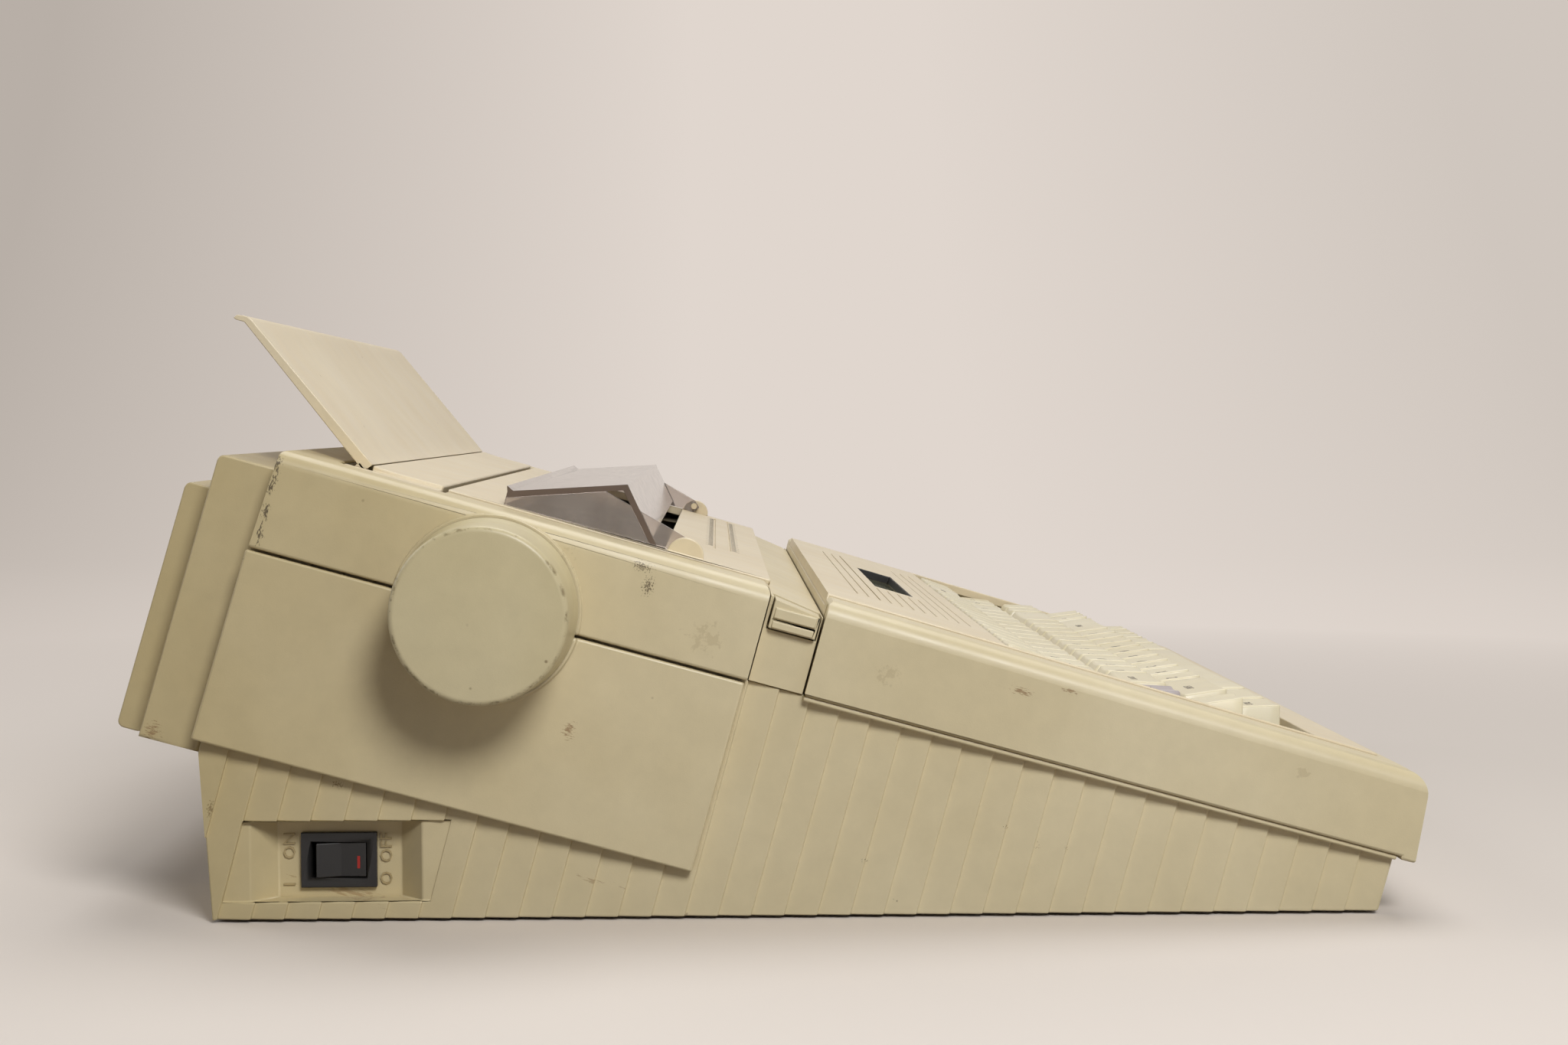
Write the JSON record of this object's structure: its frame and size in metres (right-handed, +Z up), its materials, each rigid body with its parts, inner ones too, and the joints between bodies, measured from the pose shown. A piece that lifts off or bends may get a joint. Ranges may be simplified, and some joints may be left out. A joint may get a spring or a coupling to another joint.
{
  "type": "electronic word processor",
  "caption": "Wedge-shaped desktop word processor with keyboard, small display, hinged print cover, clear flap, raised paper support and platen knob.",
  "frame": {"origin": "centre of the footprint of the whole machine, on the surface it stands on", "axes": "+Z up, +X to the typist's right, +Y away from the typist"},
  "size_m": [0.426, 0.3835, 0.1775],
  "materials": {
    "aged_beige_shell": "satin",
    "cream_key": "satin",
    "smoke_clear": "polished",
    "black_plastic": "satin",
    "black_rubber": "matte",
    "zinc_steel": "satin",
    "sintered_bronze": "satin",
    "white_nylon": "satin",
    "green_laminate": "satin",
    "core_iron": "matte",
    "display_glass": "polished"
  },
  "bodies": {
    "chassis": {"lower_case": "aged_beige_shell", "rubber_feet": "black_rubber", "side_panel_left": "aged_beige_shell", "side_panel_right": "aged_beige_shell", "keyboard_case": "aged_beige_shell", "keyboard_panel": "aged_beige_shell", "lcd_window": "display_glass", "lcd_module": "black_plastic", "channel_trim": "aged_beige_shell", "top_cover": "aged_beige_shell", "paper_chute": "aged_beige_shell", "rear_cover": "aged_beige_shell", "mechanism_plate": "zinc_steel", "left_frame": "zinc_steel", "right_frame": "zinc_steel", "paper_pan": "zinc_steel", "carriage_rod": "zinc_steel", "carriage_rail": "zinc_steel", "carriage_motor": "zinc_steel", "feed_motor": "zinc_steel", "platen_bushes": "sintered_bronze", "main_board": "green_laminate", "transformer": "core_iron", "mains_inlet": "black_plastic", "switch_bezel": "black_plastic", "keyboard_plate": "zinc_steel", "keyboard_board": "green_laminate", "screws": "zinc_steel", "drive_belt": "black_rubber"},
    "access_cover": {"access_cover": "aged_beige_shell"},
    "clear_cover": {"clear_cover": "smoke_clear"},
    "paper_support": {"paper_support": "aged_beige_shell"},
    "latch_left": {"latch_left": "aged_beige_shell"},
    "latch_right": {"latch_right": "aged_beige_shell"},
    "rocker": {"rocker": "black_plastic"},
    "rear_door": {"rear_door": "aged_beige_shell"},
    "platen": {"platen_knob": "aged_beige_shell", "platen_roller": "black_rubber", "platen_shaft": "zinc_steel", "platen_gear": "white_nylon"},
    "idler": {"idler_gear": "white_nylon"},
    "pinion": {"motor_pinion": "sintered_bronze"},
    "feed_rear": {"feed_roller_rear": "black_rubber"},
    "feed_front": {"feed_roller_front": "black_rubber"},
    "bail": {"paper_bail": "zinc_steel"},
    "bail_rollers": {"bail_rollers": "black_rubber"},
    "carriage": {"carriage_frame": "black_plastic", "wheel_motor": "zinc_steel", "ribbon_cassette": "black_plastic"},
    "hammer": {"print_hammer": "zinc_steel"},
    "print_wheel": {"print_wheel": "black_plastic"},
    "motor_pulley": {"motor_pulley": "white_nylon"},
    "idler_pulley": {"idler_pulley": "white_nylon"},
    "number_row": {"number_row_keys": "cream_key"},
    "upper_row": {"upper_row_keys": "cream_key"},
    "home_row": {"home_row_keys": "cream_key"},
    "lower_row": {"lower_row_keys": "cream_key"},
    "control_row": {"control_row_keys": "cream_key"},
    "space_bar": {"space_bar": "cream_key"},
    "return_key": {"return_key": "cream_key"}
  },
  "joints": [
    {"name": "access_cover_hinge", "type": "hinge", "parent": "chassis", "child": "access_cover", "pos_m": [0.013, 0.09305, 0.12225], "axis": [-1, 0, 0], "range_deg": [0, 60]},
    {"name": "clear_cover_hinge", "type": "hinge", "parent": "access_cover", "child": "clear_cover", "pos_m": [0.013, 0.02443, 0.10777], "axis": [1, 0, 0], "range_deg": [0, 95]},
    {"name": "paper_support_hinge", "type": "hinge", "parent": "chassis", "child": "paper_support", "pos_m": [0.013, 0.12241, 0.12936], "axis": [1, 0, 0], "range_deg": [-36.2, 0]},
    {"name": "latch_left_slide", "type": "slide", "parent": "chassis", "child": "latch_left", "axis": [1, 0, 0], "range_m": [0, 0.0025], "stiffness_N_per_m": 300, "springref_m": -0.003},
    {"name": "latch_right_slide", "type": "slide", "parent": "chassis", "child": "latch_right", "axis": [-1, 0, 0], "range_m": [0, 0.0025], "stiffness_N_per_m": 300, "springref_m": -0.003},
    {"name": "rocker_tilt", "type": "hinge", "parent": "chassis", "child": "rocker", "pos_m": [-0.1705, 0.12521, 0.017], "axis": [0, 0, -1], "range_deg": [0, 14]},
    {"name": "rear_door_hinge", "type": "hinge", "parent": "chassis", "child": "rear_door", "pos_m": [0.013, 0.17985, 0.04961], "axis": [-1, 0, 0], "range_deg": [0, 100]},
    {"name": "platen_turn", "type": "hinge", "parent": "chassis", "child": "platen", "pos_m": [0.013, 0.08071, 0.09097], "axis": [1, 0, 0], "continuous": true},
    {"name": "idler_turn", "type": "hinge", "parent": "chassis", "child": "idler", "pos_m": [0.013, 0.07807, 0.05808], "axis": [1, 0, 0], "continuous": true},
    {"name": "pinion_turn", "type": "hinge", "parent": "chassis", "child": "pinion", "pos_m": [0.013, 0.06613, 0.04597], "axis": [1, 0, 0], "continuous": true},
    {"name": "feed_rear_turn", "type": "hinge", "parent": "chassis", "child": "feed_rear", "pos_m": [0.013, 0.09695, 0.07496], "axis": [1, 0, 0], "continuous": true},
    {"name": "feed_front_turn", "type": "hinge", "parent": "chassis", "child": "feed_front", "pos_m": [0.013, 0.07497, 0.06891], "axis": [1, 0, 0], "continuous": true},
    {"name": "bail_swing", "type": "hinge", "parent": "chassis", "child": "bail", "pos_m": [0.013, 0.06528, 0.07168], "axis": [1, 0, 0], "range_deg": [0, 20], "stiffness_Nm_per_rad": 0.1, "springref_deg": -20.05},
    {"name": "bail_rollers_turn", "type": "hinge", "parent": "bail", "child": "bail_rollers", "pos_m": [0.013, 0.06519, 0.10628], "axis": [1, 0, 0], "continuous": true},
    {"name": "carriage_slide", "type": "slide", "parent": "chassis", "child": "carriage", "axis": [1, 0, 0], "range_m": [-0.05, 0.175]},
    {"name": "hammer_stroke", "type": "slide", "parent": "carriage", "child": "hammer", "axis": [0, 0.9641, 0.2656], "range_m": [0, 0.0012], "stiffness_N_per_m": 60, "springref_m": -0.002},
    {"name": "print_wheel_turn", "type": "hinge", "parent": "carriage", "child": "print_wheel", "pos_m": [-0.047, 0.06778, 0.05733], "axis": [0, 0.9641, 0.2656], "continuous": true},
    {"name": "motor_pulley_turn", "type": "hinge", "parent": "chassis", "child": "motor_pulley", "pos_m": [-0.145, 0.02542, 0.05448], "axis": [0, 0.9641, 0.2656], "continuous": true},
    {"name": "idler_pulley_turn", "type": "hinge", "parent": "chassis", "child": "idler_pulley", "pos_m": [0.171, 0.02542, 0.05448], "axis": [0, 0.9641, 0.2656], "continuous": true},
    {"name": "number_row_press", "type": "slide", "parent": "chassis", "child": "number_row", "axis": [0, 0.2656, -0.9641], "range_m": [0, 0.0035], "stiffness_N_per_m": 400, "springref_m": -0.004},
    {"name": "upper_row_press", "type": "slide", "parent": "chassis", "child": "upper_row", "axis": [0, 0.2656, -0.9641], "range_m": [0, 0.0035], "stiffness_N_per_m": 400, "springref_m": -0.004},
    {"name": "home_row_press", "type": "slide", "parent": "chassis", "child": "home_row", "axis": [0, 0.2656, -0.9641], "range_m": [0, 0.0035], "stiffness_N_per_m": 400, "springref_m": -0.004},
    {"name": "lower_row_press", "type": "slide", "parent": "chassis", "child": "lower_row", "axis": [0, 0.2656, -0.9641], "range_m": [0, 0.0035], "stiffness_N_per_m": 400, "springref_m": -0.004},
    {"name": "control_row_press", "type": "slide", "parent": "chassis", "child": "control_row", "axis": [0, 0.2656, -0.9641], "range_m": [0, 0.0035], "stiffness_N_per_m": 400, "springref_m": -0.004},
    {"name": "space_bar_press", "type": "slide", "parent": "chassis", "child": "space_bar", "axis": [0, 0.2656, -0.9641], "range_m": [0, 0.0035], "stiffness_N_per_m": 200, "springref_m": -0.004},
    {"name": "return_key_press", "type": "slide", "parent": "chassis", "child": "return_key", "axis": [0, 0.2656, -0.9641], "range_m": [0, 0.0035], "stiffness_N_per_m": 200, "springref_m": -0.004}
  ],
  "couplings": [
    {"joint": "idler_turn", "follows": "platen_turn", "ratio": -2},
    {"joint": "pinion_turn", "follows": "platen_turn", "ratio": 3.6667},
    {"joint": "feed_rear_turn", "follows": "platen_turn", "ratio": -2.75},
    {"joint": "feed_front_turn", "follows": "platen_turn", "ratio": -2.75},
    {"joint": "motor_pulley_turn", "follows": "carriage_slide", "rad_per_m": 123.46},
    {"joint": "idler_pulley_turn", "follows": "carriage_slide", "rad_per_m": 123.46}
  ]
}
